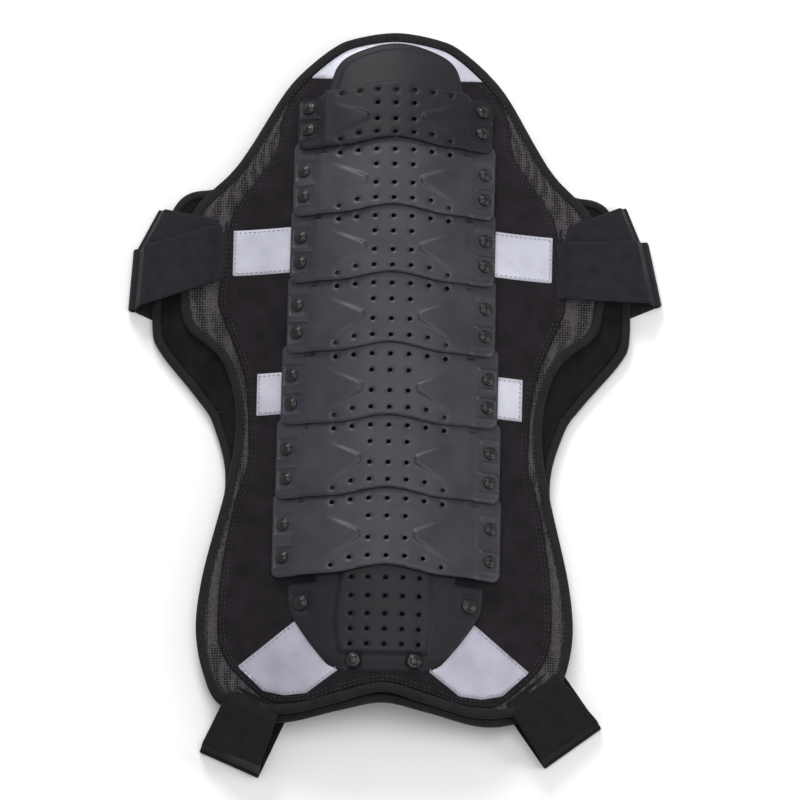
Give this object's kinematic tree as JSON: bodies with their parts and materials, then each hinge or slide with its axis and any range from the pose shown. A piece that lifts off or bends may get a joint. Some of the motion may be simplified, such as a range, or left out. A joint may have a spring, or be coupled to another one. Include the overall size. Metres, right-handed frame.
{
  "type": "motorcycle back protector",
  "caption": "Soft-shell back protector with overlapping hard plates on a padded, waisted panel, a quilted liner, reflective patches and four elastic straps.",
  "frame": {"origin": "on the plane the protector lies on, under the middle of its plates", "axes": "+X to the right seen from the plates' side, +Y towards the head, +Z out through the plates"},
  "size_m": [0.4718, 0.6671, 0.077],
  "materials": {
    "plate_plastic": "fine-grained moulded plastic",
    "rivet_plastic": "smooth moulded plastic",
    "panel_fabric": "woven nylon and mesh",
    "liner_fabric": "quilted padded knit",
    "foam": "closed-cell foam",
    "reflective": "silver-grey reflective fabric",
    "elastic": "ribbed elastic webbing"
  },
  "bodies": {
    "cap_segment": {"plate_cap": "plate_plastic", "rivets_cap": "rivet_plastic", "panel_cap": "panel_fabric", "liner_cap": "liner_fabric", "reflector_crescent": "reflective"},
    "segment_1": {"plate_1": "plate_plastic", "rivets_1": "rivet_plastic", "panel_1": "panel_fabric", "liner_1": "liner_fabric", "foam_core_1": "foam"},
    "segment_2": {"plate_2": "plate_plastic", "rivets_2": "rivet_plastic", "panel_2": "panel_fabric", "liner_2": "liner_fabric", "foam_core_2": "foam"},
    "segment_3": {"plate_3": "plate_plastic", "rivets_3": "rivet_plastic", "panel_3": "panel_fabric", "liner_3": "liner_fabric", "foam_core_3": "foam", "reflector_chest_left": "reflective", "shoulder_band_left": "elastic", "strap_upper_left_front": "elastic", "reflector_chest_right": "reflective", "shoulder_band_right": "elastic", "strap_upper_right_front": "elastic"},
    "segment_4": {"plate_4": "plate_plastic", "rivets_4": "rivet_plastic", "panel_4": "panel_fabric", "liner_4": "liner_fabric", "foam_core_4": "foam"},
    "segment_5": {"plate_5": "plate_plastic", "rivets_5": "rivet_plastic", "panel_5": "panel_fabric", "liner_5": "liner_fabric", "foam_core_5": "foam", "reflector_waist_left": "reflective", "reflector_waist_right": "reflective"},
    "segment_6": {"plate_6": "plate_plastic", "rivets_6": "rivet_plastic", "panel_6": "panel_fabric", "liner_6": "liner_fabric", "foam_core_6": "foam"},
    "segment_7": {"plate_7": "plate_plastic", "rivets_7": "rivet_plastic", "panel_7": "panel_fabric", "liner_7": "liner_fabric", "foam_core_7": "foam"},
    "tail_segment": {"plate_tail": "plate_plastic", "rivets_tail": "rivet_plastic", "panel_tail": "panel_fabric", "liner_tail": "liner_fabric", "reflector_corner_left": "reflective", "strap_lower_left_front": "elastic", "reflector_corner_right": "reflective", "strap_lower_right_front": "elastic"},
    "strap_upper_left_end": {"strap_upper_left_rear": "elastic"},
    "strap_upper_right_end": {"strap_upper_right_rear": "elastic"},
    "strap_lower_left_end": {"strap_lower_left_rear": "elastic"},
    "strap_lower_right_end": {"strap_lower_right_rear": "elastic"}
  },
  "joints": [
    {"name": "bend_3_4", "type": "hinge", "parent": "segment_4", "child": "segment_3", "pos_m": [0, 0.1105, 0.048], "axis": [-1, 0, 0], "range_deg": [-3, 6], "stiffness_Nm_per_rad": 8},
    {"name": "bend_2_3", "type": "hinge", "parent": "segment_3", "child": "segment_2", "pos_m": [0, 0.171, 0.0478], "axis": [-1, 0, 0], "range_deg": [-3, 5], "stiffness_Nm_per_rad": 8},
    {"name": "bend_1_2", "type": "hinge", "parent": "segment_2", "child": "segment_1", "pos_m": [0, 0.2315, 0.0448], "axis": [-1, 0, 0], "range_deg": [-3, 6], "stiffness_Nm_per_rad": 8},
    {"name": "bend_cap_1", "type": "hinge", "parent": "segment_1", "child": "cap_segment", "pos_m": [0, 0.265, 0.039], "axis": [-1, 0, 0], "range_deg": [-3, 6], "stiffness_Nm_per_rad": 8},
    {"name": "bend_4_5", "type": "hinge", "parent": "segment_4", "child": "segment_5", "pos_m": [0, 0.0475, 0.0468], "axis": [1, 0, 0], "range_deg": [-4, 8], "stiffness_Nm_per_rad": 8},
    {"name": "bend_5_6", "type": "hinge", "parent": "segment_5", "child": "segment_6", "pos_m": [0, -0.016, 0.0413], "axis": [1, 0, 0], "range_deg": [-4, 9], "stiffness_Nm_per_rad": 8},
    {"name": "bend_6_7", "type": "hinge", "parent": "segment_6", "child": "segment_7", "pos_m": [0, -0.082, 0.0415], "axis": [1, 0, 0], "range_deg": [-4, 8], "stiffness_Nm_per_rad": 8},
    {"name": "bend_7_tail", "type": "hinge", "parent": "segment_7", "child": "tail_segment", "pos_m": [0, -0.1525, 0.046], "axis": [1, 0, 0], "range_deg": [-4, 8], "stiffness_Nm_per_rad": 8},
    {"name": "unfold_strap_upper_left", "type": "hinge", "parent": "segment_3", "child": "strap_upper_left_end", "pos_m": [-0.22486, 0.10909, 0.0001], "axis": [0.0635, 0.998, 0], "range_deg": [0, 170]},
    {"name": "unfold_strap_upper_right", "type": "hinge", "parent": "segment_3", "child": "strap_upper_right_end", "pos_m": [0.22626, 0.12408, 0.0001], "axis": [0.2224, -0.975, 0], "range_deg": [0, 170]},
    {"name": "unfold_strap_lower_left", "type": "hinge", "parent": "tail_segment", "child": "strap_lower_left_end", "pos_m": [-0.13275, -0.32105, 0.0001], "axis": [-0.921, 0.3896, 0], "range_deg": [0, 170]},
    {"name": "unfold_strap_lower_right", "type": "hinge", "parent": "tail_segment", "child": "strap_lower_right_end", "pos_m": [0.16657, -0.29995, 0.0001], "axis": [-0.798, -0.6026, 0], "range_deg": [0, 170]}
  ]
}
